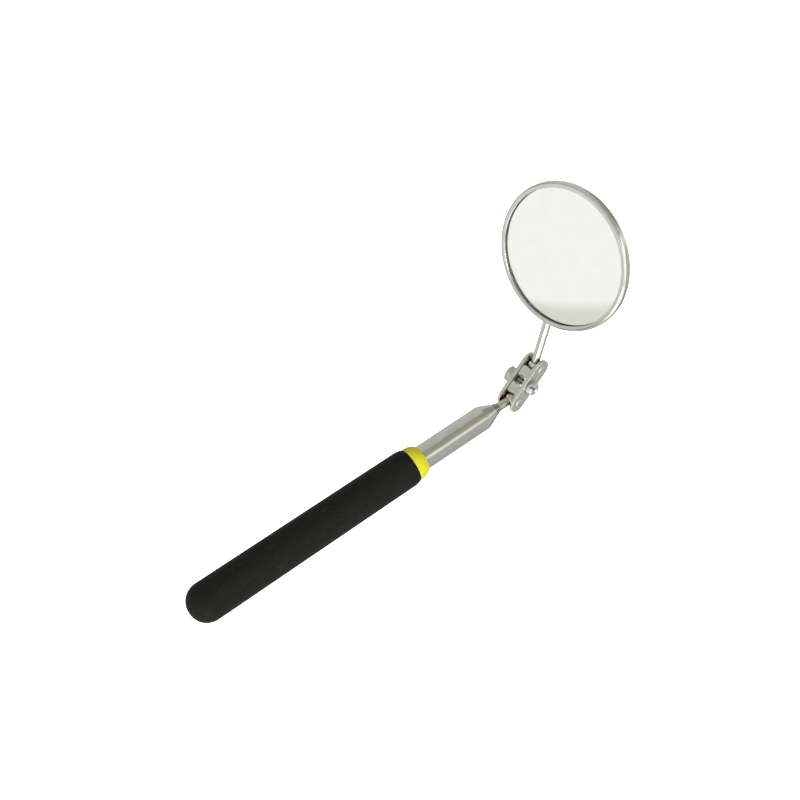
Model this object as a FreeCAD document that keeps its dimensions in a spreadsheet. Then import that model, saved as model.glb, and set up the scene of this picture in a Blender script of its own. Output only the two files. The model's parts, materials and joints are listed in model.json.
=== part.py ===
import FreeCAD, Part
import math
import os

import Sketcher
from FreeCAD import Placement, Rotation, Vector

# Telescoping inspection mirror: a sleeve grip on a tube, three sliding sections, a clamp with
# two balls in it, and a round glass mirror on an arm. Millimetres.
# Row frame: +X runs along the handle towards the mirror, +Z is up, and the origin is on the
# handle's axis at the middle of the bare tube.

doc = FreeCAD.newDocument("inspection_mirror")
sheet = doc.addObject("Spreadsheet::Sheet", "Sizes")

SIZES = (
    ("grip_length", 99.6, "grip from butt to mouth"),
    ("grip_butt_od", 15.8, "grip across the butt"),
    ("grip_mouth_od", 15.0, "grip across, just behind its lip"),
    ("grip_butt_round", 7.6, "rounding of the butt's corner"),
    ("lip_od", 13.9, "grip's lip across the mouth"),
    ("lip_length", 2.2, "the grip's tapered lip"),
    ("lip_blend", 8.0, "rounding where the grip meets its lip"),
    ("lip_round", 0.3, "rounding of the lip's end"),
    ("grip_floor", 8.0, "solid rubber behind the tube"),
    ("collar_od", 13.6, "yellow collar across"),
    ("collar_length", 5.1, "collar in front of the grip"),
    ("collar_shoulder", 2.6, "the collar's sloping shoulder"),
    ("collar_front_od", 10.9, "collar across its front"),
    ("collar_blend", 4.0, "rounding where the shoulder begins"),
    ("collar_round", 0.4, "rounding of the collar's front"),
    ("collar_spigot_od", 12.4, "part of the collar inside the grip"),
    ("collar_spigot", 9.0, "length of that part"),
    ("tube_od", 10.0, "outer tube across"),
    ("tube_wall", 0.5, "outer tube's wall"),
    ("bare_tube", 30.1, "bare tube from collar to nose corner"),
    ("nose_length", 5.35, "cone of the nose"),
    ("nose_mouth_od", 5.3, "nose across its mouth"),
    ("nose_land", 1.2, "straight bore at the nose's mouth"),
    ("nose_round", 4.0, "rounding where tube meets nose"),
    ("plug_depth", 6.0, "butt plug inside the tube"),
    ("plug_head", 1.2, "butt plug outside the tube"),
    ("section_1_od", 4.7, "first sliding section across"),
    ("section_2_od", 4.15, "second sliding section across"),
    ("section_3_od", 3.6, "last sliding section across"),
    ("section_wall", 0.13, "wall of a sliding section"),
    ("section_slack", 0.03, "radial clearance at each section's mouth"),
    ("sleeve_slack", 0.035, "radial clearance of each friction sleeve"),
    ("rim_step", 0.85, "each rim ahead of the one around it"),
    ("rim_bevel", 0.2, "bevel inside each rim"),
    ("neck_length", 3.0, "rolled-in neck at a section's mouth"),
    ("rear_gap", 2.0, "from the plug to the first section"),
    ("rear_step", 4.0, "each section's rear end ahead of the last"),
    ("sleeve_length", 8.0, "friction sleeve at a section's rear end"),
    ("sleeve_slit", 0.6, "slit along a sleeve or ring"),
    ("bush_slack", 0.04, "radial clearance of the guide bush"),
    ("ring_slack", 0.03, "radial clearance of the friction ring"),
    ("ring_width", 3.0, "friction ring along the handle"),
    ("ring_thickness", 0.9, "friction ring's wall"),
    ("ball_od", 5.2, "each ball across"),
    ("ball_reach", 8.95, "handle ball's centre beyond the nose's mouth"),
    ("ball_slack", 0.04, "between a ball and what turns on it"),
    ("neck_od", 3.6, "stem's neck across"),
    ("stem_length", 6.4, "last section's end to the ball's centre"),
    ("stem_spigot", 8.0, "stem inside the last section"),
    ("stem_slack", 0.03, "clearance of the stem in the section"),
    ("ball_pitch", 15.6, "between the two balls"),
    ("plate_width", 8.4, "clamp plate across"),
    ("plate_thickness", 1.65, "clamp plate's sheet"),
    ("plate_gap", 4.5, "between the two plates"),
    ("plate_edge", 0.35, "rounding of a plate's outer edge"),
    ("dimple_height", 0.25, "outside bump over a ball seat"),
    ("dimple_od", 3.2, "bump across"),
    ("relief_start", 2.0, "where a plate's mouth begins to flare, from the ball's centre"),
    ("relief_end", 4.3, "where that flare ends, just past the plate's end"),
    ("relief_depth", 0.4, "depth of the flare at its end"),
    ("relief_sweep", 230, "angle of the flare around the ball"),
    ("flange_thickness", 0.9, "folded flange's sheet"),
    ("flange_inset", 0.4, "flange inside the plate's straight side"),
    ("flange_slack", 0.12, "between flange and nut plate"),
    ("flange_end", 5.5, "from the screw to the flange's end at the plate"),
    ("flange_point", 0.6, "how far the flange's end is drawn out to a point"),
    ("flange_point_drop", 0.8, "that point below the middle of the gap"),
    ("flange_notch", 3.6, "notch around the screw"),
    ("notch_nick", 0.45, "V nick half way up each side of the notch"),
    ("screw_od", 2.84, "thread across"),
    ("screw_pitch", 0.635, "thread pitch"),
    ("screw_tail", 0.9, "thread beyond the nut"),
    ("screw_slack", 0.06, "clearance around the thread"),
    ("thread_depth", 0.3, "depth of a thread"),
    ("head_od", 5.6, "screw head across"),
    ("head_height", 2.6, "screw head's height"),
    ("head_round", 0.9, "rounding of the screw head's top"),
    ("slot_width", 0.9, "screwdriver slot"),
    ("slot_depth", 1.3, "screwdriver slot's depth"),
    ("nut_flats", 6.35, "nut across flats"),
    ("nut_height", 3.2, "nut's height"),
    ("arm_od", 3.4, "mirror arm across"),
    ("arm_reach", 51.3, "mirror ball to the mirror's centre"),
    ("arm_end", 41.0, "mirror ball to the arm's end"),
    ("arm_slack", 0.05, "around the arm in its bracket"),
    ("case_od", 57.0, "mirror case across"),
    ("case_height", 3.0, "mirror case front to back"),
    ("case_sheet", 0.45, "mirror case's sheet"),
    ("lip_width", 2.15, "lip over the glass"),
    ("case_front_round", 1.2, "rounding of the case's front edge"),
    ("case_inner_round", 0.6, "rounding inside the front edge"),
    ("case_back_round", 0.7, "rounding of the case's back edge"),
    ("glass_od", 55.4, "glass across"),
    ("glass_thickness", 1.3, "glass"),
    ("glass_slack", 0.02, "between the glass and what it lies against"),
    ("silver_thickness", 0.08, "silvered layer"),
    ("bracket_length", 16.0, "bracket along the arm"),
    ("bracket_width", 12.0, "bracket across the arm"),
    ("bracket_sheet", 0.7, "bracket's sheet"),
    ("bracket_round", 2.5, "bracket's corners"),
    ("rivet_od", 2.0, "rivet across"),
    ("rivet_head_od", 3.2, "rivet head across"),
    ("rivet_head", 0.6, "rivet head's height"),
    ("roll_angle", 25.6, "clamp turned about the handle"),
    ("handle_tilt", 8.8, "handle leaning out of the clamp's plane"),
    ("handle_swing", 28.8, "clamp swung from the handle"),
    ("mirror_swing", 38.9, "arm swung from the clamp"),
    ("mirror_tilt", 1.8, "arm leaning out of the clamp's plane"),
    ("mirror_twist", -88.6, "mirror turned about its arm"),
)
for row, (alias, value, meaning) in enumerate(SIZES, start=1):
    sheet.set("A%d" % row, meaning)
    sheet.set("B%d" % row, str(value))
    sheet.setAlias("B%d" % row, alias)
doc.recompute()


def value_of(expression):
    """The number that an expression over the sheet gives."""
    return float(sheet.evalExpression(expression))


# Stations along the handle, measured from the butt.
BUTT = "0"
MOUTH = "Sizes.grip_length"
BARE_START = MOUTH + " + Sizes.collar_length"
NOSE_START = BARE_START + " + Sizes.bare_tube"
NOSE_MOUTH = NOSE_START + " + Sizes.nose_length"
BALL_CENTRE = NOSE_MOUTH + " + Sizes.ball_reach"
SECTION_3_END = BALL_CENTRE + " - Sizes.stem_length"
TUBE_REAR = "Sizes.grip_floor"
PLUG_FRONT = TUBE_REAR + " + Sizes.plug_head + Sizes.plug_depth"
BALL_RADIUS = "Sizes.ball_od / 2"
HALF_GAP = "Sizes.plate_gap / 2"
nose_angle = math.atan2(value_of("Sizes.tube_od / 2 - Sizes.nose_mouth_od / 2"),
                        value_of("Sizes.nose_length"))
straight_tube = value_of("Sizes.bare_tube") - value_of("Sizes.nose_round") * math.tan(nose_angle / 2)
ORIGIN_STATION = value_of(BARE_START) + straight_tube / 2


# ---------------------------------------------------------------- building blocks

def new_body(label):
    """An empty body whose label names the sub-part."""
    body = doc.addObject("PartDesign::Body", label)
    body.Label = label
    return body


def add_sketch(body, name, role, offset=None):
    """A sketch on one of the body's own origin planes, lifted by an expression if given."""
    sketch = body.newObject("Sketcher::SketchObject", name)
    plane = next(item for item in body.Origin.OriginFeatures if item.Role == role)
    sketch.AttachmentSupport = [(plane, "")]
    sketch.MapMode = "FlatFace"
    if offset:
        sketch.setExpression("AttachmentOffset.Base.z", offset)
    return sketch


def pin_point(sketch, line, end, axis_kind, expression):
    """Hold one coordinate of a line's end at an expression, or on the axis when it is 0."""
    if expression == "0":
        axis = -2 if axis_kind == "DistanceX" else -1
        sketch.addConstraint(Sketcher.Constraint("PointOnObject", line, end, axis))
        return
    place = value_of(expression)
    index = sketch.addConstraint(Sketcher.Constraint(axis_kind, -1, 1, line, end, place))
    sketch.setExpression("Constraints[%d]" % index, expression)


def draw_outline(sketch, corners):
    """A closed outline of straight lines through corners given as pairs of expressions."""
    points = [Vector(value_of(x), value_of(y), 0) for x, y in corners]
    count = len(points)
    first = sketch.GeometryCount
    for i in range(count):
        sketch.addGeometry(Part.LineSegment(points[i], points[(i + 1) % count]), False)
    for i in range(count):
        following = first + (i + 1) % count
        sketch.addConstraint(Sketcher.Constraint("Coincident", first + i, 2, following, 1))
    for i, (x, y) in enumerate(corners):
        pin_point(sketch, first + i, 1, "DistanceX", x)
        pin_point(sketch, first + i, 1, "DistanceY", y)


def draw_circle(sketch, radius, x="0", y="0"):
    """A circle whose radius and centre are expressions."""
    centre = Vector(value_of(x), value_of(y), 0)
    circle = sketch.addGeometry(Part.Circle(centre, Vector(0, 0, 1), value_of(radius)), False)
    index = sketch.addConstraint(Sketcher.Constraint("Radius", circle, value_of(radius)))
    sketch.setExpression("Constraints[%d]" % index, radius)
    pin_point(sketch, circle, 3, "DistanceX", x)
    pin_point(sketch, circle, 3, "DistanceY", y)


def turn(body, corners, name="Turned"):
    """A solid of revolution about the body's Z axis from (radius, height) corners."""
    sketch = add_sketch(body, name + "Profile", "XZ_Plane")
    draw_outline(sketch, corners)
    feature = body.newObject("PartDesign::Revolution", name)
    feature.Profile = sketch
    feature.ReferenceAxis = (sketch, ["V_Axis"])
    feature.Angle = 360
    doc.recompute()
    return feature


def pad(body, sketch, length, name, midplane=False):
    """A pad of a sketch by an expression, to one side of it or half each way."""
    feature = body.newObject("PartDesign::Pad", name)
    feature.Profile = sketch
    feature.Midplane = midplane
    feature.setExpression("Length", length)
    doc.recompute()
    return feature


def pocket_through(body, sketch, name):
    """A pocket right through the body, both ways from its sketch."""
    feature = body.newObject("PartDesign::Pocket", name)
    feature.Profile = sketch
    feature.Type = "ThroughAll"
    feature.Midplane = True
    doc.recompute()
    return feature


def block(body, kind, name, sizes, centre):
    """Add or cut a block. Sizes and the block's centre are expressions."""
    feature = body.newObject("PartDesign::%sBox" % kind, name)
    for prop, size in zip(("Length", "Width", "Height"), sizes):
        feature.setExpression(prop, size)
    for letter, size, middle in zip("xyz", sizes, centre):
        feature.setExpression("Placement.Base." + letter, "%s - (%s) / 2" % (middle, size))
    doc.recompute()
    return feature


def rod(body, kind, name, radius, length, start, lie):
    """Add or cut a cylinder from a starting point, turned from Z by a rotation."""
    feature = body.newObject("PartDesign::%sCylinder" % kind, name)
    feature.Placement = Placement(Vector(0, 0, 0), lie)
    feature.setExpression("Radius", radius)
    feature.setExpression("Height", length)
    for letter, place in zip("xyz", start):
        feature.setExpression("Placement.Base." + letter, place)
    doc.recompute()
    return feature


def cut_ball(body, name, radius, centre, lie=Rotation()):
    """Cut a sphere away, its pole turned from Z by a rotation. The sizes are expressions."""
    feature = body.newObject("PartDesign::SubtractiveSphere", name)
    feature.Placement = Placement(Vector(0, 0, 0), lie)
    feature.setExpression("Radius", radius)
    for letter, place in zip("xyz", centre):
        feature.setExpression("Placement.Base." + letter, place)
    doc.recompute()
    return feature


def dress(body, kind, prop, edges, size, name):
    """A fillet or chamfer on the tip's edges that a test picks."""
    base = body.Tip
    picked = ["Edge%d" % (i + 1) for i, edge in enumerate(base.Shape.Edges) if edges(edge)]
    if not picked:
        raise RuntimeError("%s: no edge for %s" % (body.Label, name))
    feature = body.newObject(kind, name)
    feature.Base = (base, picked)
    feature.setExpression(prop, size)
    doc.recompute()
    return feature


def fillet(body, edges, radius, name):
    return dress(body, "PartDesign::Fillet", "Radius", edges, radius, name)


def chamfer(body, edges, size, name):
    return dress(body, "PartDesign::Chamfer", "Size", edges, size, name)


def ring_edge(radius, height):
    """A test for the circle of this radius around the body's Z axis at this height."""
    wanted_radius = value_of(radius)
    wanted_height = value_of(height)

    def matches(edge):
        if not isinstance(edge.Curve, Part.Circle):
            return False
        middle = edge.Curve.Center
        return (abs(edge.Curve.Radius - wanted_radius) < 1e-3
                and abs(middle.z - wanted_height) < 1e-3
                and math.hypot(middle.x, middle.y) < 1e-3)
    return matches


# ---------------------------------------------------------------- places of the moving groups

def turned_by(axis, degrees):
    return Placement(Vector(0, 0, 0), Rotation(axis, degrees))


X_AXIS, Y_AXIS, Z_AXIS = Vector(1, 0, 0), Vector(0, 1, 0), Vector(0, 0, 1)


def moved(x=0.0, y=0.0, z=0.0):
    return Placement(Vector(x, y, z), Rotation())


# Handle parts are turned about Z from the butt, then laid along the row's X.
handle_place = moved(x=-ORIGIN_STATION) * turned_by(Y_AXIS, 90)
handle_ball_place = (moved(x=value_of(BALL_CENTRE) - ORIGIN_STATION)
                     * turned_by(X_AXIS, value_of("Sizes.roll_angle"))
                     * turned_by(Y_AXIS, value_of("Sizes.handle_tilt")))
half_pitch = value_of("Sizes.ball_pitch / 2")
clamp_place = (handle_ball_place
               * turned_by(Z_AXIS, value_of("Sizes.handle_swing"))
               * moved(x=half_pitch))
mirror_ball_place = (clamp_place * moved(x=half_pitch)
                     * turned_by(Z_AXIS, value_of("Sizes.mirror_swing")))
arm_place = mirror_ball_place * turned_by(Y_AXIS, -value_of("Sizes.mirror_tilt"))
head_place = arm_place * turned_by(X_AXIS, value_of("Sizes.mirror_twist"))
BACK_LIFT = "Sizes.arm_od / 2 + Sizes.arm_slack"
case_place = head_place * moved(x=value_of("Sizes.arm_reach"), z=value_of(BACK_LIFT))


# ---------------------------------------------------------------- handle

def make_grip():
    body = new_body("grip")
    bore = "Sizes.tube_od / 2"
    socket = "Sizes.collar_spigot_od / 2"
    socket_floor = MOUTH + " - Sizes.collar_spigot"
    shoulder = "Sizes.grip_mouth_od / 2"
    lip = "Sizes.lip_od / 2"
    lip_start = MOUTH + " - Sizes.lip_length"
    turn(body, (
        (BUTT, "0"),
        ("Sizes.grip_butt_od / 2", "0"),
        (shoulder, lip_start),
        (lip, MOUTH),
        (socket, MOUTH),
        (socket, socket_floor),
        (bore, socket_floor),
        (bore, TUBE_REAR),
        ("0", TUBE_REAR),
    ))
    fillet(body, ring_edge("Sizes.grip_butt_od / 2", "0"), "Sizes.grip_butt_round", "Butt")
    fillet(body, ring_edge(shoulder, lip_start), "Sizes.lip_blend", "LipBlend")
    fillet(body, ring_edge(lip, MOUTH), "Sizes.lip_round", "Lip")
    body.Placement = handle_place


def make_collar():
    body = new_body("collar")
    bore = "Sizes.tube_od / 2"
    outside = "Sizes.collar_od / 2"
    spigot = "Sizes.collar_spigot_od / 2"
    spigot_end = MOUTH + " - Sizes.collar_spigot"
    shoulder = BARE_START + " - Sizes.collar_shoulder"
    front = "Sizes.collar_front_od / 2"
    turn(body, (
        (bore, spigot_end),
        (spigot, spigot_end),
        (spigot, MOUTH),
        (outside, MOUTH),
        (outside, shoulder),
        (front, BARE_START),
        (bore, BARE_START),
    ))
    fillet(body, ring_edge(outside, shoulder), "Sizes.collar_blend", "Shoulder")
    fillet(body, ring_edge(front, BARE_START), "Sizes.collar_round", "Front")
    body.Placement = handle_place


def make_outer_tube():
    body = new_body("outer_tube")
    outside = "Sizes.tube_od / 2"
    inside = outside + " - Sizes.tube_wall"
    mouth = "Sizes.nose_mouth_od / 2"
    guide = "Sizes.section_1_od / 2 + Sizes.section_slack"
    rear = TUBE_REAR + " + Sizes.plug_head"
    turn(body, (
        (inside, rear),
        (outside, rear),
        (outside, NOSE_START),
        (mouth, NOSE_MOUTH),
        (guide, NOSE_MOUTH),
        (guide, NOSE_MOUTH + " - Sizes.nose_land"),
        (inside, NOSE_START + " - Sizes.tube_wall / 2"),
    ))
    fillet(body, ring_edge(outside, NOSE_START), "Sizes.nose_round", "NoseShoulder")
    chamfer(body, ring_edge(guide, NOSE_MOUTH), "Sizes.rim_bevel", "RimBevel")
    body.Placement = handle_place


def make_butt_plug():
    body = new_body("butt_plug")
    inside = "Sizes.tube_od / 2 - Sizes.tube_wall"
    shoulder = TUBE_REAR + " + Sizes.plug_head"
    turn(body, (
        ("0", TUBE_REAR),
        ("Sizes.tube_od / 2", TUBE_REAR),
        ("Sizes.tube_od / 2", shoulder),
        (inside, shoulder),
        (inside, PLUG_FRONT),
        ("0", PLUG_FRONT),
    ))
    chamfer(body, ring_edge(inside, PLUG_FRONT), "Sizes.tube_wall", "LeadIn")
    body.Placement = handle_place


# ---------------------------------------------------------------- sliding sections

def section_radius(number):
    return "Sizes.section_%d_od / 2" % number


def section_rear(number):
    return PLUG_FRONT + " + Sizes.rear_gap + %d * Sizes.rear_step" % (number - 1)


def make_section_tube(number):
    """A thin tube whose mouth is rolled in around the next section."""
    body = new_body("section_%d_tube" % number)
    outside = section_radius(number)
    inside = outside + " - Sizes.section_wall"
    rim = NOSE_MOUTH + " + %d * Sizes.rim_step" % number
    guide = section_radius(number + 1) + " + Sizes.section_slack"
    neck = rim + " - Sizes.neck_length"
    turn(body, (
        (inside, section_rear(number)),
        (outside, section_rear(number)),
        (outside, rim),
        (guide, rim),
        (guide, neck),
        (inside, neck + " - Sizes.section_wall"),
    ))
    chamfer(body, ring_edge(guide, rim), "Sizes.rim_bevel", "RimBevel")
    body.Placement = handle_place


def make_last_section():
    """The last section is a plain tube, open at both ends."""
    body = new_body("section_3_tube")
    outside = section_radius(3)
    inside = outside + " - Sizes.section_wall"
    turn(body, (
        (inside, section_rear(3)),
        (outside, section_rear(3)),
        (outside, SECTION_3_END),
        (inside, SECTION_3_END),
    ))
    body.Placement = handle_place


def slit(body, radius, start, length):
    """A slit along one side, so that a sleeve or ring can spring."""
    middle = "%s + (%s) / 2" % (start, length)
    sizes = ("2 * (%s)" % radius, "Sizes.sleeve_slit", length + " + 1")
    block(body, "Subtractive", "Slit", sizes, (radius, "0", middle))


def make_friction_sleeve(number):
    """A slit sleeve on a section's rear end, which drags on the tube around it."""
    body = new_body("section_%d_sleeve" % number)
    rear = section_rear(number)
    front = rear + " + Sizes.sleeve_length"
    drag = section_radius(number - 1) + " - Sizes.section_wall - Sizes.sleeve_slack"
    turn(body, (
        (section_radius(number), rear),
        (drag, rear),
        (drag, front),
        (section_radius(number), front),
    ))
    slit(body, drag, rear, "Sizes.sleeve_length")
    body.Placement = handle_place


def ring_groove_start():
    return section_rear(1) + " + (Sizes.sleeve_length - Sizes.ring_width) / 2"


def make_guide_bush():
    """The bush on the first section's rear end, with a groove for the friction ring."""
    body = new_body("section_1_bush")
    rear = section_rear(1)
    front = rear + " + Sizes.sleeve_length"
    outside = "Sizes.tube_od / 2 - Sizes.tube_wall - Sizes.bush_slack"
    floor = outside + " - Sizes.ring_thickness"
    groove = ring_groove_start()
    turn(body, (
        (section_radius(1), rear),
        (outside, rear),
        (outside, groove),
        (floor, groove),
        (floor, groove + " + Sizes.ring_width"),
        (outside, groove + " + Sizes.ring_width"),
        (outside, front),
        (section_radius(1), front),
    ))
    body.Placement = handle_place


def make_friction_ring():
    """The slit ring in the bush's groove, which drags on the outer tube."""
    body = new_body("section_1_friction_ring")
    groove = ring_groove_start()
    outside = "Sizes.tube_od / 2 - Sizes.tube_wall - Sizes.ring_slack"
    inside = "Sizes.tube_od / 2 - Sizes.tube_wall - Sizes.bush_slack - Sizes.ring_thickness"
    turn(body, (
        (inside, groove),
        (outside, groove),
        (outside, groove + " + Sizes.ring_width"),
        (inside, groove + " + Sizes.ring_width"),
    ))
    slit(body, outside, groove, "Sizes.ring_width")
    body.Placement = handle_place


def make_tip_stem():
    """The turned stem in the last section's end, hollowed to sit round the handle ball."""
    body = new_body("tip_stem")
    spigot = section_radius(3) + " - Sizes.section_wall - Sizes.stem_slack"
    shoulder = SECTION_3_END + " + Sizes.stem_slack"
    turn(body, (
        ("0", SECTION_3_END + " - Sizes.stem_spigot"),
        (spigot, SECTION_3_END + " - Sizes.stem_spigot"),
        (spigot, shoulder),
        ("Sizes.neck_od / 2", shoulder),
        ("Sizes.neck_od / 2", BALL_CENTRE),
        ("0", BALL_CENTRE),
    ))
    tilt_axis_lie = Rotation(Z_AXIS, value_of("Sizes.roll_angle")) * Rotation(X_AXIS, -90)
    cut_ball(body, "BallHollow", BALL_RADIUS + " + Sizes.ball_slack", ("0", "0", BALL_CENTRE),
             tilt_axis_lie)
    body.Placement = handle_place


# ---------------------------------------------------------------- ball clamp

def make_ball(label, place):
    body = new_body(label)
    ball = body.newObject("PartDesign::AdditiveSphere", "Ball")
    ball.setExpression("Radius", BALL_RADIUS)
    doc.recompute()
    body.Placement = place


def draw_stadium(sketch):
    """The plate's outline: two half circles around the balls, joined by straight sides."""
    half = value_of("Sizes.ball_pitch / 2")
    radius = value_of("Sizes.plate_width / 2")
    for side in (1, -1):
        start = -math.pi / 2 if side > 0 else math.pi / 2
        arc = Part.Circle(Vector(side * half, 0, 0), Vector(0, 0, 1), radius)
        sketch.addGeometry(Part.ArcOfCircle(arc, start, start + math.pi), False)
    for side in (1, -1):
        first = Vector(side * half, side * radius, 0)
        sketch.addGeometry(Part.LineSegment(first, Vector(-side * half, side * radius, 0)), False)
    right, left, top, bottom = 0, 1, 2, 3
    for a, a_end, b, b_end in ((right, 2, top, 1), (top, 2, left, 1),
                               (left, 2, bottom, 1), (bottom, 2, right, 1)):
        sketch.addConstraint(Sketcher.Constraint("Tangent", a, a_end, b, b_end))
    for arc, place in ((right, half), (left, -half)):
        sketch.addConstraint(Sketcher.Constraint("PointOnObject", arc, 3, -1))
        index = sketch.addConstraint(Sketcher.Constraint("DistanceX", -1, 1, arc, 3, place))
        sign = "" if place > 0 else "-"
        sketch.setExpression("Constraints[%d]" % index, sign + "Sizes.ball_pitch / 2")
    index = sketch.addConstraint(Sketcher.Constraint("Radius", right, radius))
    sketch.setExpression("Constraints[%d]" % index, "Sizes.plate_width / 2")


def on_outline(height):
    """A test for the plate's outline edges that lie flat at one height."""
    level = value_of(height)
    side = value_of("Sizes.plate_width / 2")

    def matches(edge):
        box = edge.BoundBox
        if abs(box.ZMin - level) > 1e-3 or abs(box.ZMax - level) > 1e-3:
            return False
        if isinstance(edge.Curve, Part.Circle):
            return abs(edge.Curve.Radius - side) < 1e-3
        return abs(abs(box.YMin) - side) < 1e-3 and box.YLength < 1e-3
    return matches


def draw_flange_half(sketch, sign):
    """One half of a flange: nicked on the screw's side, drawn to a point on the ball's side."""
    foot = HALF_GAP + " + Sizes.plate_thickness / 2"
    free_edge = "Sizes.flange_slack - " + HALF_GAP
    notch = "Sizes.flange_notch / 2"
    corners = (
        (notch, foot),
        ("Sizes.flange_end", foot),
        ("Sizes.flange_end", HALF_GAP),
        ("Sizes.flange_end + Sizes.flange_point", "-Sizes.flange_point_drop"),
        ("Sizes.flange_end", free_edge),
        (notch, free_edge),
        (notch, "-Sizes.notch_nick"),
        (notch + " + Sizes.notch_nick", "0"),
        (notch, "Sizes.notch_nick"),
    )
    draw_outline(sketch, [("%s(%s)" % (sign, x), z) for x, z in corners])


def add_flanges(body):
    """Flanges folded across the gap from both long sides, with a bevel along each fold."""
    outline = add_sketch(body, "FlangeOutline", "XZ_Plane")
    for sign in ("", "-"):
        draw_flange_half(outline, sign)
    doc.recompute()
    pad(body, outline, "Sizes.plate_width - 2 * Sizes.flange_inset", "Flanges", midplane=True)
    between = "Sizes.plate_width - 2 * Sizes.flange_inset - 2 * Sizes.flange_thickness"
    block(body, "Subtractive", "Between", ("Sizes.ball_pitch", between, "Sizes.plate_gap"),
          ("0", "0", "0"))
    level = value_of(HALF_GAP)
    side = value_of("Sizes.plate_width / 2 - Sizes.flange_inset")

    def at_fold(edge):
        box = edge.BoundBox
        return (abs(box.ZMin - level) < 1e-3 and box.ZLength < 1e-3
                and abs(abs(box.YMin) - side) < 1e-3 and box.YLength < 1e-3)

    chamfer(body, at_fold, "Sizes.flange_inset * 0.9", "Fold")


def flare_mouth(body, number, sign):
    """Flare the gap around one ball's open end, so that a stem there can lean further."""
    axis_place = sign + "Sizes.ball_pitch / 2"
    sketch = add_sketch(body, "Flare%d" % number, "XZ_Plane")
    sketch.setExpression("AttachmentOffset.Base.x", axis_place)
    outer = "%sSizes.relief_end" % sign
    draw_outline(sketch, (
        ("%sSizes.relief_start" % sign, HALF_GAP),
        (outer, HALF_GAP + " + Sizes.relief_depth"),
        (outer, HALF_GAP),
    ))
    groove = body.newObject("PartDesign::Groove", "Flare%dCut" % number)
    groove.Profile = sketch
    groove.ReferenceAxis = (sketch, ["V_Axis"])
    groove.Midplane = True
    groove.setExpression("Angle", "Sizes.relief_sweep")
    doc.recompute()


def make_plate(label, flanged, lie):
    """A stadium plate of the clamp, with a bump outside and a seat inside for each ball."""
    body = new_body(label)
    outline = add_sketch(body, "Outline", "XY_Plane", HALF_GAP)
    draw_stadium(outline)
    doc.recompute()
    pad(body, outline, "Sizes.plate_thickness", "Sheet")
    outer_face = HALF_GAP + " + Sizes.plate_thickness"
    if flanged:
        add_flanges(body)
    fillet(body, on_outline(outer_face), "Sizes.plate_edge", "OuterEdge")
    for number, sign in ((1, "-"), (2, "")):
        bump = body.newObject("PartDesign::AdditiveCone", "Dimple%d" % number)
        bump.setExpression("Radius1", "Sizes.dimple_od / 2 + Sizes.dimple_height")
        bump.setExpression("Radius2", "Sizes.dimple_od / 2 - Sizes.dimple_height")
        bump.setExpression("Height", "2 * Sizes.dimple_height")
        bump.setExpression("Placement.Base.x", sign + "Sizes.ball_pitch / 2")
        bump.setExpression("Placement.Base.z", outer_face + " - Sizes.dimple_height")
        doc.recompute()
    hole = add_sketch(body, "ScrewHole", "XY_Plane")
    draw_circle(hole, "Sizes.screw_od / 2 + Sizes.screw_slack")
    pocket_through(body, hole, "ScrewHoleCut")
    for number, sign in ((1, "-"), (2, "")):
        cut_ball(body, "Seat%d" % number, BALL_RADIUS + " + Sizes.ball_slack",
                 (sign + "Sizes.ball_pitch / 2", "0", "0"))
        flare_mouth(body, number, sign)
    body.Placement = clamp_place * lie


STACK = "Sizes.plate_gap / 2 + Sizes.plate_thickness"
SCREW_TAIL = STACK + " + Sizes.nut_height + Sizes.screw_tail"


def make_clamp_screw():
    """A round-head screw with ring threads, standing on its tail end."""
    body = new_body("clamp_screw")
    crest = "Sizes.screw_od / 2"
    root = crest + " - Sizes.thread_depth"
    under_head = "%s + %s" % (SCREW_TAIL, STACK)
    top = under_head + " + Sizes.head_height"
    turns = int(value_of(under_head) / value_of("Sizes.screw_pitch"))
    corners = [("0", "0"), (root, "0")]
    for number in range(turns):
        corners.append((crest, "%.1f * Sizes.screw_pitch" % (number + 0.5)))
        if number < turns - 1:
            corners.append((root, "%d * Sizes.screw_pitch" % (number + 1)))
    corners += [(crest, under_head), ("Sizes.head_od / 2", under_head),
                ("Sizes.head_od / 2", top), ("0", top)]
    turn(body, corners)
    fillet(body, ring_edge("Sizes.head_od / 2", top), "Sizes.head_round", "RoundHead")
    slot = ("Sizes.slot_width", "Sizes.head_od + 1", "2 * Sizes.slot_depth")
    block(body, "Subtractive", "Slot", slot, ("0", "0", top))
    body.Placement = clamp_place * moved(z=-value_of(SCREW_TAIL))


def make_clamp_nut():
    """A hexagon nut with its corners turned off on both faces, standing on Z = 0."""
    body = new_body("clamp_nut")
    across_corners = "Sizes.nut_flats / cos(30) / 2"
    prism = body.newObject("PartDesign::AdditivePrism", "Hexagon")
    prism.Polygon = 6
    prism.setExpression("Circumradius", across_corners)
    prism.setExpression("Height", "Sizes.nut_height")
    prism.Placement = turned_by(Z_AXIS, 30)
    doc.recompute()
    beyond = across_corners + " + 1"
    flats = "Sizes.nut_flats / 2"
    rise = "Sizes.nut_height / 4 + 0.4"
    for name, face, inner in (("Top", "Sizes.nut_height", "Sizes.nut_height - (%s)" % rise),
                              ("Bottom", "0", rise)):
        sketch = add_sketch(body, name + "Corner", "XZ_Plane")
        draw_outline(sketch, ((flats, face), (beyond, face), (beyond, inner)))
        groove = body.newObject("PartDesign::Groove", name + "Chamfer")
        groove.Profile = sketch
        groove.ReferenceAxis = (sketch, ["V_Axis"])
        groove.Angle = 360
        doc.recompute()
    hole = add_sketch(body, "Thread", "XY_Plane")
    draw_circle(hole, "Sizes.screw_od / 2 + Sizes.screw_slack")
    pocket_through(body, hole, "ThreadCut")
    body.Placement = clamp_place * moved(z=-value_of(STACK + " + Sizes.nut_height"))


# ---------------------------------------------------------------- mirror

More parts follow.
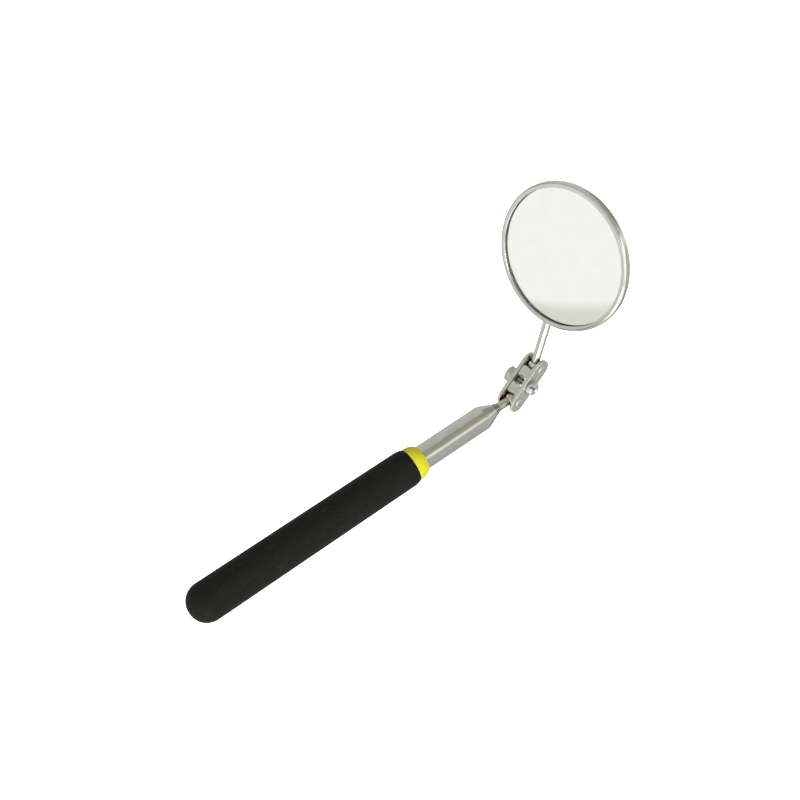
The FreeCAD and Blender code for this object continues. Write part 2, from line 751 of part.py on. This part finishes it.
def make_mirror_arm():
    """The round arm, hollowed at one end to sit round the mirror ball."""
    body = new_body("mirror_arm")
    radius = "Sizes.arm_od / 2"
    turn(body, (("0", "0"), (radius, "0"), (radius, "Sizes.arm_end"), ("0", "Sizes.arm_end")))
    chamfer(body, ring_edge(radius, "Sizes.arm_end"), "Sizes.arm_od / 8", "End")
    cut_ball(body, "BallHollow", BALL_RADIUS + " + Sizes.ball_slack", ("0", "0", "0"),
             Rotation(X_AXIS, -90))
    body.Placement = arm_place * turned_by(Y_AXIS, 90)


RIVET_X = "-Sizes.arm_reach + Sizes.arm_end - Sizes.bracket_length / 3"
RIVET_Y = "(Sizes.bracket_width + Sizes.arm_od + Sizes.bracket_sheet) / 4"
GLASS_FRONT = "Sizes.case_height - Sizes.case_sheet - Sizes.glass_slack"
GLASS_BACK = GLASS_FRONT + " - Sizes.glass_thickness"
SILVER_FRONT = GLASS_BACK + " - Sizes.glass_slack"
PAD_TOP = SILVER_FRONT + " - Sizes.silver_thickness"


def drill_rivet_holes(body):
    for name, sign in (("A", ""), ("B", "-")):
        hole = add_sketch(body, "RivetHole" + name, "XY_Plane")
        draw_circle(hole, "Sizes.rivet_od / 2", RIVET_X, sign + "(%s)" % RIVET_Y)
        pocket_through(body, hole, "RivetHoleCut" + name)


def make_mirror_case():
    """A shallow steel cup whose edge is rolled in over the glass."""
    body = new_body("mirror_case")
    outside = "Sizes.case_od / 2"
    wall = outside + " - Sizes.case_sheet"
    lip = outside + " - Sizes.lip_width"
    front = "Sizes.case_height"
    under_lip = front + " - Sizes.case_sheet"
    turn(body, (
        ("0", "0"),
        (outside, "0"),
        (outside, front),
        (lip, front),
        (lip, under_lip),
        (wall, under_lip),
        (wall, "Sizes.case_sheet"),
        ("0", "Sizes.case_sheet"),
    ))
    fillet(body, ring_edge(outside, front), "Sizes.case_front_round", "FrontEdge")
    fillet(body, ring_edge(outside, "0"), "Sizes.case_back_round", "BackEdge")
    fillet(body, ring_edge(lip, front), "Sizes.case_sheet / 2", "LipEdge")
    fillet(body, ring_edge(wall, under_lip), "Sizes.case_inner_round", "InnerEdge")
    drill_rivet_holes(body)
    body.Placement = case_place


def make_disc(label, diameter, bottom, top, bevel=None):
    """A flat disc inside the case between two heights."""
    body = new_body(label)
    radius = diameter + " / 2"
    turn(body, (("0", bottom), (radius, bottom), (radius, top), ("0", top)))
    if bevel:
        chamfer(body, ring_edge(radius, top), bevel, "Bevel")
    body.Placement = case_place


def make_arm_bracket():
    """A stamped saddle that holds the arm against the back of the case."""
    body = new_body("arm_bracket")
    length = "Sizes.bracket_length"
    middle = RIVET_X
    sheet_half = "-Sizes.bracket_sheet / 2"
    block(body, "Additive", "Foot", (length, "Sizes.bracket_width", "Sizes.bracket_sheet"),
          (middle, "0", sheet_half))
    fillet(body, lambda edge: edge.BoundBox.XLength + edge.BoundBox.YLength < 1e-3,
           "Sizes.bracket_round", "FootCorners")
    along_x = Rotation(Y_AXIS, 90)
    axis_height = "-(%s)" % BACK_LIFT
    inner = BACK_LIFT
    saddle_start = "%s - %s / 2" % (middle, length)
    rod(body, "Additive", "Saddle", inner + " + Sizes.bracket_sheet", length,
        (saddle_start, "0", axis_height), along_x)
    spare = "%s + 2" % length
    block(body, "Subtractive", "CaseSide", (spare, "Sizes.bracket_width", "Sizes.arm_od"),
          (middle, "0", "Sizes.arm_od / 2"))
    rod(body, "Subtractive", "Channel", inner, spare,
        ("%s - 1" % saddle_start, "0", axis_height), along_x)
    block(body, "Subtractive", "ChannelSides", (spare, "2 * (%s)" % inner, inner),
          (middle, "0", "-(%s) / 2" % inner))
    drill_rivet_holes(body)
    body.Placement = case_place


def make_bracket_rivets():
    """The two rivets that hold the bracket, as one group of separate solids."""
    shank_top = value_of("Sizes.case_sheet")
    head_bottom = value_of("-Sizes.bracket_sheet - Sizes.rivet_head")
    shank_radius = value_of("Sizes.rivet_od / 2")
    head_radius = value_of("Sizes.rivet_head_od / 2")
    head_height = value_of("Sizes.rivet_head")
    rivets = []
    for sign in (1, -1):
        foot = Vector(value_of(RIVET_X), sign * value_of(RIVET_Y), head_bottom)
        shank = Part.makeCylinder(shank_radius, shank_top - head_bottom, foot)
        head = Part.makeCylinder(head_radius, head_height, foot)
        rim = [edge for edge in head.Edges if abs(edge.BoundBox.ZMax - head_bottom) < 1e-6]
        head = head.makeFillet(head_height * 0.7, rim)
        rivets.append(shank.fuse(head).removeSplitter())
    group = doc.addObject("Part::Feature", "bracket_rivets")
    group.Label = "bracket_rivets"
    group.Shape = Part.makeCompound(rivets)
    group.Placement = case_place


make_grip()
make_collar()
make_outer_tube()
make_butt_plug()
make_guide_bush()
make_friction_ring()
for section in (1, 2):
    make_section_tube(section)
make_last_section()
for section in (2, 3):
    make_friction_sleeve(section)
make_tip_stem()
make_ball("handle_ball", handle_ball_place)
make_plate("screw_plate", True, Placement())
make_plate("nut_plate", False, turned_by(X_AXIS, 180))
make_clamp_screw()
make_clamp_nut()
make_ball("mirror_ball", mirror_ball_place)
make_mirror_arm()
make_mirror_case()
make_disc("backing_pad", "Sizes.glass_od", "Sizes.case_sheet", PAD_TOP)
make_disc("silver_layer", "Sizes.glass_od", PAD_TOP, SILVER_FRONT)
make_disc("mirror_glass", "Sizes.glass_od", GLASS_BACK, GLASS_FRONT, "Sizes.case_sheet / 2")
make_arm_bracket()
make_bracket_rivets()
doc.recompute()

for item in doc.Objects:
    if "Error" in item.State or "Invalid" in item.State:
        raise RuntimeError("%s: %s" % (item.Label, item.State))

os.makedirs("parts", exist_ok=True)
for item in doc.Objects:
    is_body = item.isDerivedFrom("PartDesign::Body")
    if not is_body and item.TypeId != "Part::Feature":
        continue
    shape = item.Shape
    if shape.isNull() or not shape.isValid() or not shape.Solids:
        raise RuntimeError("%s: its shape is empty or not valid" % item.Label)
    shape.exportStep(os.path.join("parts", item.Label + ".step"))
    print("%-24s %9.2f mm3" % (item.Label, shape.Volume))
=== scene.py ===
import json
import math

import bpy
from mathutils import Matrix, Vector


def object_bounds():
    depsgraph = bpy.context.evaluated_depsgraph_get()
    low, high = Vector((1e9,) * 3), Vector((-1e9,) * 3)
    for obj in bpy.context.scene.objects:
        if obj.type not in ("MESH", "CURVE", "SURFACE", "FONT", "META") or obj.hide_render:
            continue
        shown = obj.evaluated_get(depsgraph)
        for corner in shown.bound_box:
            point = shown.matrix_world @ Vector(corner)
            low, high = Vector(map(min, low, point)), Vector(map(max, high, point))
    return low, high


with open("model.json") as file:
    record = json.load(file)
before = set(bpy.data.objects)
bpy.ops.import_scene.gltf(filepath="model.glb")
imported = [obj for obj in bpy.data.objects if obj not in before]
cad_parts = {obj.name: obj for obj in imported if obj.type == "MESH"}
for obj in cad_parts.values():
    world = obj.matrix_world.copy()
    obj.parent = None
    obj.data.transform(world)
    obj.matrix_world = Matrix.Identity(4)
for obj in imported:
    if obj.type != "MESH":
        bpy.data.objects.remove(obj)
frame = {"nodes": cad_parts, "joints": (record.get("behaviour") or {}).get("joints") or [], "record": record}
cad_low, cad_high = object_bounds()

MM = 0.001


# ---------------------------------------------------------------- places read from the frame

def named(rows, name):
    return next(row for row in rows if row["name"] == name)


def joint_place(name):
    return Vector(named(frame["joints"], name)["pos_m"])


def joint_axis(name):
    return Vector(named(frame["joints"], name)["axis"]).normalized()


def mount_axis(name):
    return Vector(named(frame["record"]["mounts"], name)["axis"]).normalized()


HANDLE_BALL = joint_place("handle_ball_swing")
MIRROR_BALL = joint_place("mirror_ball_swing")
HANDLE_AXIS = joint_axis("head_spin")
LINK_AXIS = (MIRROR_BALL - HANDLE_BALL).normalized()
CLAMP_AXIS = joint_axis("handle_ball_swing")
ARM_AXIS = joint_axis("mirror_twist")
MIRROR_NORMAL = mount_axis("mirror_rim")


# ---------------------------------------------------------------- camera

VIEW_AZIMUTH = 212.1
VIEW_ELEVATION = 56.6
VIEW_ROLL = 240.5
VIEW_DISTANCE = 0.480
VIEW_TARGET = HANDLE_BALL + Vector((-0.0447, 0.0296, 0.0053))
LENS = 58.5
SENSOR_WIDTH = 36.0
NEAREST_SEEN = 0.01
UPWARDS = Vector((0, 0, 1))


def view_directions():
    """The camera's right, up and forward directions in the row frame."""
    azimuth = math.radians(VIEW_AZIMUTH)
    elevation = math.radians(VIEW_ELEVATION)
    roll = math.radians(VIEW_ROLL)
    forward = Vector((-math.sin(azimuth) * math.cos(elevation),
                      math.cos(azimuth) * math.cos(elevation),
                      -math.sin(elevation)))
    level_right = forward.cross(UPWARDS).normalized()
    level_up = level_right.cross(forward)
    up = level_up * math.cos(roll) + level_right * math.sin(roll)
    return forward.cross(up), up, forward


RIGHT, UP, FORWARD = view_directions()


def make_camera():
    data = bpy.data.cameras.new("view_camera")
    data.lens = LENS
    data.sensor_width = SENSOR_WIDTH
    data.clip_start = NEAREST_SEEN
    data.dof.use_dof = False
    camera = bpy.data.objects.new("view_camera", data)
    bpy.context.scene.collection.objects.link(camera)
    place = VIEW_TARGET - FORWARD * VIEW_DISTANCE
    turn = Matrix((RIGHT, UP, -FORWARD)).transposed().to_4x4()
    camera.matrix_world = Matrix.Translation(place) @ turn
    bpy.context.scene.camera = camera


# ---------------------------------------------------------------- node helpers

# A Mix node has several sockets of each name; these are the ones for colours.
MIX_FIRST = 6
MIX_SECOND = 7
MIX_RESULT = 2


class Nodes:
    """A short way to add nodes to a tree and link them."""

    def __init__(self, tree):
        self.tree = tree

    def add(self, kind, **settings):
        node = self.tree.nodes.new(kind)
        for key, value in settings.items():
            setattr(node, key, value)
        return node

    def link(self, output, socket):
        self.tree.links.new(output, socket)

    def feed(self, socket, value):
        """A socket gets a link from another socket, a colour's three numbers, or a constant."""
        if isinstance(value, bpy.types.NodeSocket):
            self.link(value, socket)
        elif isinstance(value, tuple):
            socket.default_value = (*value, 1.0)
        else:
            socket.default_value = value

    def calculate(self, operation, *values):
        """One step of arithmetic on sockets and numbers."""
        node = self.add("ShaderNodeMath", operation=operation)
        for socket, value in zip(node.inputs, values):
            self.feed(socket, value)
        return node.outputs["Value"]

    def along(self, vector, direction):
        """How far a vector points in a direction, as their dot product."""
        node = self.add("ShaderNodeVectorMath", operation="DOT_PRODUCT")
        self.link(vector, node.inputs[0])
        self.feed(node.inputs[1], direction)
        return node.outputs["Value"]

    def spread(self, value, low, high, start=0.3, end=0.7, interpolation="LINEAR"):
        """A value remapped from start..end to low..high, held at the ends."""
        node = self.add("ShaderNodeMapRange", clamp=True, interpolation_type=interpolation)
        for name, number in (("From Min", start), ("From Max", end),
                             ("To Min", low), ("To Max", high)):
            node.inputs[name].default_value = number
        self.link(value, node.inputs["Value"])
        return node.outputs["Result"]

    def mix(self, factor, first, second):
        """A blend of two colours, each three numbers or a socket."""
        node = self.add("ShaderNodeMix", data_type="RGBA")
        self.link(factor, node.inputs["Factor"])
        self.feed(node.inputs[MIX_FIRST], first)
        self.feed(node.inputs[MIX_SECOND], second)
        return node.outputs[MIX_RESULT]


class Finish(Nodes):
    """The nodes of one material, around its Principled shader."""

    def __init__(self, name):
        self.material = bpy.data.materials.new(name)
        self.material.use_nodes = True
        super().__init__(self.material.node_tree)
        self.shader = self.tree.nodes["Principled BSDF"]
        self.place = self.add("ShaderNodeTexCoord").outputs["Object"]

    def set(self, **values):
        """Constant values on the shader's own sockets."""
        for key, value in values.items():
            self.feed(self.shader.inputs[key.replace("_", " ")], value)

    def colour(self, socket):
        self.link(socket, self.shader.inputs["Base Color"])

    def rough(self, socket):
        self.link(socket, self.shader.inputs["Roughness"])

    def bump(self, *layers):
        """Bump from (height, strength, distance) layers, one on the other."""
        normal = None
        for height, strength, distance in layers:
            node = self.add("ShaderNodeBump")
            node.inputs["Strength"].default_value = strength
            node.inputs["Distance"].default_value = distance
            self.link(height, node.inputs["Height"])
            if normal:
                self.link(normal, node.inputs["Normal"])
            normal = node.outputs["Normal"]
        self.link(normal, self.shader.inputs["Normal"])

    def aligned(self, axis, stretch=(1, 1, 1)):
        """Coordinates with X along an axis of the row frame, in millimetres, then stretched."""
        turned = self.add("ShaderNodeMapping")
        turned.inputs["Rotation"].default_value = axis.to_track_quat("X", "Z").inverted().to_euler()
        turned.inputs["Scale"].default_value = (1 / MM, 1 / MM, 1 / MM)
        self.link(self.place, turned.inputs["Vector"])
        stretched = self.add("ShaderNodeMapping")
        stretched.inputs["Scale"].default_value = stretch
        self.link(turned.outputs["Vector"], stretched.inputs["Vector"])
        return stretched.outputs["Vector"]

    def noise(self, vector, scale, detail=4.0, roughness=0.55):
        node = self.add("ShaderNodeTexNoise")
        node.inputs["Scale"].default_value = scale
        node.inputs["Detail"].default_value = detail
        node.inputs["Roughness"].default_value = roughness
        self.link(vector, node.inputs["Vector"])
        return node.outputs["Fac"]

    def facing(self):
        return self.add("ShaderNodeNewGeometry").outputs["Normal"]

    def edges_worn_and_highlit(self, radius, bent=0.9, flat=0.995):
        """High where the surface bends sharply outwards, from the bevel normal: the mask of edges painted
        brighter, part wear and part painted highlight.
        """
        bevel = self.add("ShaderNodeBevel", samples=4)
        bevel.inputs["Radius"].default_value = radius
        agreement = self.along(bevel.outputs["Normal"], self.facing())
        return self.spread(agreement, 1.0, 0.0, bent, flat)

    def sideways(self, axis, across=0.3, along=0.9):
        """High where the surface faces across an axis, low where it faces along it."""
        size = self.calculate("ABSOLUTE", self.along(self.facing(), axis))
        return self.spread(size, 1.0, 0.0, across, along)

    def crevice_shade(self, reach, deep, open_air):
        """High in narrow gaps and inner corners, from ambient occlusion: the mask of the painted shade
        there.
        """
        node = self.add("ShaderNodeAmbientOcclusion", samples=8)
        node.inputs["Distance"].default_value = reach
        return self.spread(node.outputs["AO"], 1.0, 0.0, deep, open_air)

    def step_shade_bands(self, axis, start, step, count, dark_to=0.40, pale_from=0.60):
        """High on the rear part of each of so many steps along an axis, in millimetres: the mask of the
        painted shade band at the foot of each step.
        """
        parts = self.add("ShaderNodeSeparateXYZ")
        self.link(self.aligned(axis), parts.inputs["Vector"])
        from_start = self.calculate("SUBTRACT", parts.outputs["X"], start)
        steps = self.calculate("DIVIDE", from_start, step)
        rear = self.spread(self.calculate("FRACT", steps), 1.0, 0.0, dark_to, pale_from)
        inside = self.calculate("COMPARE", steps, count / 2, count / 2)
        return self.calculate("MULTIPLY", rear, inside)


# ---------------------------------------------------------------- rubber, plastic and foam

def grip_rubber():
    """Dipped black rubber: a fine grain, faint drips along its length and a few scuffs."""
    n = Finish("grip_rubber")
    grain = n.noise(n.aligned(HANDLE_AXIS), scale=1.6, detail=6.0, roughness=0.65)
    waves = n.noise(n.aligned(HANDLE_AXIS, stretch=(0.12, 1, 1)), scale=0.16, detail=2.0)
    scuffs = n.noise(n.aligned(HANDLE_AXIS, stretch=(0.3, 1, 1)), 0.5, detail=6.0, roughness=0.7)
    black = (0.0070, 0.0073, 0.0058)
    worn_black = (0.0165, 0.0167, 0.0135)
    scuffed = (0.030, 0.030, 0.027)
    tone = n.mix(n.spread(grain, 0.0, 1.0), black, worn_black)
    n.colour(n.mix(n.spread(scuffs, 0.0, 0.5, start=0.56, end=0.75), tone, scuffed))
    n.rough(n.spread(scuffs, 0.46, 0.62))
    n.set(Specular_IOR_Level=0.07)
    n.bump((waves, 0.25, 0.25 * MM), (grain, 0.30, 0.06 * MM))
    return n.material


def collar_plastic():
    """Moulded yellow plastic, slightly uneven in colour."""
    n = Finish("collar_plastic")
    cloud = n.noise(n.aligned(HANDLE_AXIS), scale=0.6, detail=3.0)
    grain = n.noise(n.aligned(HANDLE_AXIS), scale=6.0)
    n.colour(n.mix(n.spread(cloud, 0.0, 1.0), (0.68, 0.63, 0.022), (0.61, 0.555, 0.014)))
    n.rough(n.spread(grain, 0.28, 0.40))
    n.set(Specular_IOR_Level=0.35)
    n.bump((grain, 0.12, 0.02 * MM), (cloud, 0.15, 0.1 * MM))
    return n.material


def plain_polymer(name, first, second, roughness):
    """An even plastic or foam for the pieces inside, between two close tones."""
    n = Finish(name)
    cloud = n.noise(n.aligned(HANDLE_AXIS), scale=0.8)
    grain = n.noise(n.aligned(HANDLE_AXIS), scale=5.0)
    n.colour(n.mix(n.spread(cloud, 0.0, 1.0), first, second))
    n.rough(n.spread(grain, *roughness))
    n.bump((grain, 0.2, 0.02 * MM))
    return n.material


def plug_plastic():
    return plain_polymer("plug_plastic", (0.03, 0.03, 0.03), (0.045, 0.045, 0.045), (0.45, 0.6))


def bush_plastic():
    return plain_polymer("bush_plastic", (0.62, 0.60, 0.54), (0.55, 0.53, 0.47), (0.4, 0.55))


def pad_foam():
    return plain_polymer("pad_foam", (0.08, 0.08, 0.08), (0.12, 0.12, 0.12), (0.8, 0.95))


# ---------------------------------------------------------------- metals

# How the scratches run along the piece's axis, as a stretch of their noise.
ALONG = (0.06, 1.0, 1.0)
AROUND = (1.0, 0.06, 0.06)
BRUSHED = (0.10, 1, 1)
EVERY_WAY = (1, 1, 1)

SCRATCH_SHADE = 0.74
# How far the edges painted brighter reach, part wear and part painted highlight.
EDGE_WIDTH = 0.20 * MM
# Painted shade in narrow gaps and inner corners: how far the occlusion looks, and the part of its range that
# is darkened.
SHADE_REACH = 1.3 * MM
SHADE_GAPS = (0.30, 0.80)

# The sections' mouths stand out of the nose in equal steps. The foot of each step gets a painted shade band
# and stronger painted shade in its inner corner.
BALL_REACH = 8.95
NOSE_MOUTH = HANDLE_BALL.x / MM - BALL_REACH
RIM_STEP = 0.85
RIM_COUNT = 3
RING_SHADE = (0.035, 0.030, 0.018)
STEP_GAPS = (0.76, 0.98)


def metal(name, bright, dull, roughness, axis, scratched, grain=3.0, depth=0.01, edge_wear_and_highlight_tone=None,
          patches=0.35, shade_scale=0.14, streaks=0.35, gaps=SHADE_GAPS, step_shaded=False):
    """A worked metal: fine scratches, dull patches, painted shade in narrow gaps and inner corners, and, if
    asked for, edges painted brighter as part wear and part painted highlight, and painted shade bands at the
    foot of the sections' steps.
    """
    n = Finish(name)
    n.set(Metallic=1.0)
    scratches = n.noise(n.aligned(axis, scratched), grain, detail=3.0, roughness=0.6)
    cloud = n.noise(n.aligned(axis), patches, detail=3.0)
    scratch_tone = tuple(part * SCRATCH_SHADE for part in bright)
    crevice_shade_tone = tuple(part * shade_scale for part in dull)
    tone = n.mix(n.spread(cloud, 0.0, 1.0, start=0.35, end=0.65), bright, dull)
    tone = n.mix(n.spread(scratches, 0.0, streaks), tone, scratch_tone)
    # If asked for, edges are painted brighter, part wear and part painted highlight.
    if edge_wear_and_highlight_tone:
        tone = n.mix(n.edges_worn_and_highlit(EDGE_WIDTH), tone, edge_wear_and_highlight_tone)
    # If asked for, a dark band is painted at the foot of each section step, as painted shade.
    if step_shaded:
        tone = n.mix(n.step_shade_bands(axis, NOSE_MOUTH, RIM_STEP, RIM_COUNT), tone, RING_SHADE)
    # The colour is darkened in narrow gaps and inner corners, as painted shade.
    n.colour(n.mix(n.crevice_shade(SHADE_REACH, *gaps), tone, crevice_shade_tone))
    n.rough(n.spread(scratches, *roughness))
    n.bump((scratches, 0.25, depth * MM), (cloud, 0.1, 0.02 * MM))
    return n.material


def tube_steel():
    return metal("tube_steel", (0.64, 0.64, 0.61), (0.57, 0.57, 0.54), (0.15, 0.26),
                 HANDLE_AXIS, ALONG, grain=2.5)


def section_steel():
    return metal("section_steel", (0.68, 0.66, 0.60), (0.58, 0.56, 0.49), (0.12, 0.24),
                 HANDLE_AXIS, ALONG, shade_scale=0.05, gaps=STEP_GAPS, step_shaded=True)


def spring_bronze():
    return metal("spring_bronze", (0.55, 0.36, 0.18), (0.45, 0.28, 0.13), (0.22, 0.36),
                 HANDLE_AXIS, AROUND)


def tip_brass():
    return metal("tip_brass", (0.70, 0.68, 0.57), (0.56, 0.54, 0.42), (0.12, 0.24),
                 HANDLE_AXIS, AROUND, shade_scale=0.10, gaps=STEP_GAPS, step_shaded=True)


def ball_brass():
    return metal("ball_brass", (0.68, 0.62, 0.42), (0.56, 0.49, 0.31), (0.12, 0.24),
                 CLAMP_AXIS, EVERY_WAY)


def clamp_nickel():
    return metal("clamp_nickel", (0.80, 0.80, 0.73), (0.66, 0.66, 0.59), (0.24, 0.40),
                 LINK_AXIS, BRUSHED, grain=1.8, depth=0.03, edge_wear_and_highlight_tone=(0.95, 0.94, 0.89),
                 patches=0.5, streaks=0.75)


def nut_nickel():
    return metal("nut_nickel", (0.55, 0.55, 0.51), (0.46, 0.46, 0.42), (0.22, 0.40),
                 CLAMP_AXIS, AROUND, edge_wear_and_highlight_tone=(0.74, 0.74, 0.70))


def screw_chrome():
    return metal("screw_chrome", (0.80, 0.80, 0.77), (0.68, 0.68, 0.65), (0.08, 0.20),
                 CLAMP_AXIS, AROUND, depth=0.008, shade_scale=0.05)


def ball_steel():
    return metal("ball_steel", (0.76, 0.76, 0.73), (0.66, 0.66, 0.63), (0.08, 0.18),
                 CLAMP_AXIS, EVERY_WAY, depth=0.008)


def arm_chrome():
    return metal("arm_chrome", (0.74, 0.74, 0.72), (0.68, 0.68, 0.66), (0.10, 0.18),
                 ARM_AXIS, ALONG, grain=2.5, depth=0.006)


def case_steel():
    return metal("case_steel", (0.68, 0.68, 0.65), (0.61, 0.61, 0.58), (0.09, 0.17),
                 ARM_AXIS, EVERY_WAY, grain=1.2, shade_scale=1.0)


def bracket_steel():
    return metal("bracket_steel", (0.60, 0.60, 0.57), (0.52, 0.52, 0.49), (0.28, 0.42),
                 ARM_AXIS, ALONG, depth=0.015, edge_wear_and_highlight_tone=(0.76, 0.76, 0.73))


def rivet_steel():
    return metal("rivet_steel", (0.66, 0.66, 0.65), (0.58, 0.58, 0.57), (0.24, 0.36),
                 ARM_AXIS, EVERY_WAY)


# ---------------------------------------------------------------- mirror

def silver():
    """The silvering behind the glass: a clean mirror, very slightly uneven in tone."""
    n = Finish("silver")
    cloud = n.noise(n.aligned(ARM_AXIS), scale=0.15, detail=3.0)
    n.colour(n.mix(n.spread(cloud, 0.0, 1.0), (0.960, 0.962, 0.948), (0.94, 0.943, 0.928)))
    n.set(Metallic=1.0, Roughness=0.0)
    return n.material


def glass():
    """Float glass with a faint green body and a trace of dust. Its rim is ground white."""
    n = Finish("glass")
    dust = n.noise(n.aligned(ARM_AXIS), scale=0.5, detail=6.0, roughness=0.7)
    rim = n.sideways(MIRROR_NORMAL)
    clean = (0.990, 0.994, 0.988)
    dusty = (0.97, 0.98, 0.97)
    ground = (0.86, 0.88, 0.85)
    body = n.mix(n.spread(dust, 0.0, 1.0, start=0.5, end=0.8), clean, dusty)
    n.colour(n.mix(rim, body, ground))
    n.rough(n.spread(rim, 0.0, 0.6, start=0.0, end=1.0))
    n.link(n.spread(rim, 1.0, 0.0, start=0.0, end=1.0), n.shader.inputs["Transmission Weight"])
    n.set(IOR=1.52)
    return n.material


# Each function makes the material of the record's slot that it is named after.
FINISHES = (grip_rubber, collar_plastic, plug_plastic, bush_plastic, pad_foam, tube_steel,
            section_steel, spring_bronze, tip_brass, ball_brass, clamp_nickel, nut_nickel,
            screw_chrome, ball_steel, arm_chrome, case_steel, bracket_steel, rivet_steel,
            silver, glass)


def paint_nodes():
    """Each CAD node takes the material of its slot in the record."""
    materials = {finish.__name__: finish() for finish in FINISHES}
    for subpart in frame["record"]["subparts"]:
        mesh = frame["nodes"][subpart["node"]].data
        mesh.materials.clear()
        mesh.materials.append(materials[subpart["material_slot"]])


# ---------------------------------------------------------------- floor and lamp

HEAD_REACH = 0.12
FLOOR_HEIGHT = cad_low[2] - HEAD_REACH
FLOOR_RADIUS = 3.0
FLOOR_SIDES = 96
FLOOR_GLOW = 0.9

LAMP_STRENGTH = 2.3
LAMP_WIDTH = 25.0
LAMP_DIRECTION = (RIGHT * 0.35 - UP * 0.45 - FORWARD).normalized()


def floor_paper():
    """Pale paper with a faint mottle, bright enough that no shadow shows on it."""
    n = Finish("floor_paper")
    cloud = n.noise(n.place, scale=6.0, detail=3.0)
    n.colour(n.mix(n.spread(cloud, 0.0, 1.0), (0.93, 0.93, 0.925), (0.91, 0.91, 0.905)))
    n.set(Roughness=0.9, Specular_IOR_Level=0.2, Emission_Color=(1.0, 1.0, 1.0),
          Emission_Strength=FLOOR_GLOW)
    return n.material


def make_floor():
    """A floor that only the camera sees, so that the studio alone lights the tool.

    It lies below the tool by the head's reach, so that no pose takes the head through it.
    """
    bpy.ops.mesh.primitive_circle_add(vertices=FLOOR_SIDES, radius=FLOOR_RADIUS,
                                      fill_type="NGON", location=(0, 0, FLOOR_HEIGHT))
    floor = bpy.context.object
    floor.name = "floor"
    floor.visible_diffuse = False
    floor.visible_glossy = False
    floor.visible_transmission = False
    floor.data.materials.append(floor_paper())


def make_lamp():
    """A soft lamp over the viewer's shoulder, left out of reflections."""
    data = bpy.data.lights.new("soft_lamp", "SUN")
    data.energy = LAMP_STRENGTH
    data.angle = math.radians(LAMP_WIDTH)
    lamp = bpy.data.objects.new("soft_lamp", data)
    lamp.rotation_euler = LAMP_DIRECTION.to_track_quat("Z", "Y").to_euler()
    lamp.visible_glossy = False
    bpy.context.scene.collection.objects.link(lamp)


# ---------------------------------------------------------------- studio

STUDIO_LOW = (0.74, 0.74, 0.71)
STUDIO_HIGH = (0.62, 0.62, 0.60)
LOW_END = -0.6
HIGH_END = 0.9
MATT_SHARE = 0.72
BACKDROP = (1.0, 1.0, 1.0)

# Each soft area of the studio: its direction, its solid and faded edges in degrees, its colour.
STUDIO_AREAS = (
    ("far_side", (0.22, -0.48, -0.85), 14, 30, (0.50, 0.49, 0.45)),
    ("low_dark", (0.60, -0.78, -0.18), 9, 17, (0.30, 0.30, 0.28)),
    ("olive_band", (0.29, 0.72, 0.63), 17, 26, (0.47, 0.465, 0.37)),
    ("nose_olive", (0.62, 0.68, 0.36), 8, 18, (0.44, 0.43, 0.34)),
    ("nose_brown", (0.84, 0.42, 0.05), 18, 30, (0.42, 0.39, 0.33)),
    ("nose_light", (0.89, -0.10, 0.44), 4, 13, (1.15, 1.13, 1.04)),
    ("left_wall", (-0.53, 0.85, -0.07), 14, 30, (0.63, 0.63, 0.60)),
    ("top_grey", (-0.40, 0.62, -0.68), 10, 24, (0.55, 0.55, 0.53)),
    ("side_box", (-0.48, -0.72, 0.50), 17, 30, (1.7, 1.7, 1.68)),
    ("upper_box", (-0.42, -0.12, 0.90), 14, 26, (1.7, 1.7, 1.68)),
    ("left_box", (-0.92, 0.0, 0.39), 6, 22, (1.6, 1.6, 1.6)),
    ("low_side", (0.44, -0.88, 0.14), 12, 24, (0.56, 0.56, 0.54)),
    ("head_box", (-0.05, 0.12, 0.99), 8, 15, (2.6, 2.6, 2.55)),
    ("arm_box", (-0.84, -0.50, 0.25), 13, 20, (1.7, 1.7, 1.68)),
    ("top_box", (0.29, 0.12, 0.95), 4, 13, (1.35, 1.33, 1.22)),
    ("shoulder_box", (0.62, 0.02, 0.78), 4, 12, (1.30, 1.28, 1.18)),
    ("beige_card", (-0.97, -0.16, -0.20), 10, 20, (0.72, 0.735, 0.645)),
    ("white_card", (-0.924, 0.2475, -0.292), 16.3, 16.95, (0.97, 0.965, 0.955)),
)


def studio_colour(n):
    """A grey that changes with height, with each soft area laid over it in turn."""
    direction = n.add("ShaderNodeTexCoord").outputs["Generated"]
    height = n.add("ShaderNodeSeparateXYZ")
    n.link(direction, height.inputs["Vector"])
    colour = n.mix(n.spread(height.outputs["Z"], 0.0, 1.0, LOW_END, HIGH_END),
                   STUDIO_LOW, STUDIO_HIGH)
    for name, middle, solid, faded, tone in STUDIO_AREAS:
        nearness = n.along(direction, Vector(middle).normalized())
        cover = n.spread(nearness, 0.0, 1.0, math.cos(math.radians(faded)),
                         math.cos(math.radians(solid)), interpolation="SMOOTHSTEP")
        colour = n.mix(cover, colour, tone)
        colour.node.label = name
    return colour


def make_studio():
    """A grey studio with soft lit and dark areas, which the metal shows as bands.

    Matt surfaces get a smaller share of it, so that the lamp shapes them. Past the floor's
    edge there is only a plain pale backdrop.
    """
    world = bpy.data.worlds.new("studio")
    bpy.context.scene.world = world
    world.use_nodes = True
    n = Nodes(world.node_tree)
    background = n.tree.nodes["Background"]
    ray = n.add("ShaderNodeLightPath").outputs
    n.link(n.mix(ray["Is Camera Ray"], studio_colour(n), BACKDROP), background.inputs["Color"])
    n.link(n.spread(ray["Is Diffuse Ray"], 1.0, MATT_SHARE, start=0.0, end=1.0),
           background.inputs["Strength"])


def set_view_transform():
    settings = bpy.context.scene.view_settings
    settings.view_transform = "Standard"
    settings.look = "None"
    settings.exposure = 0.0


make_camera()
paint_nodes()
make_floor()
make_lamp()
make_studio()
set_view_transform()
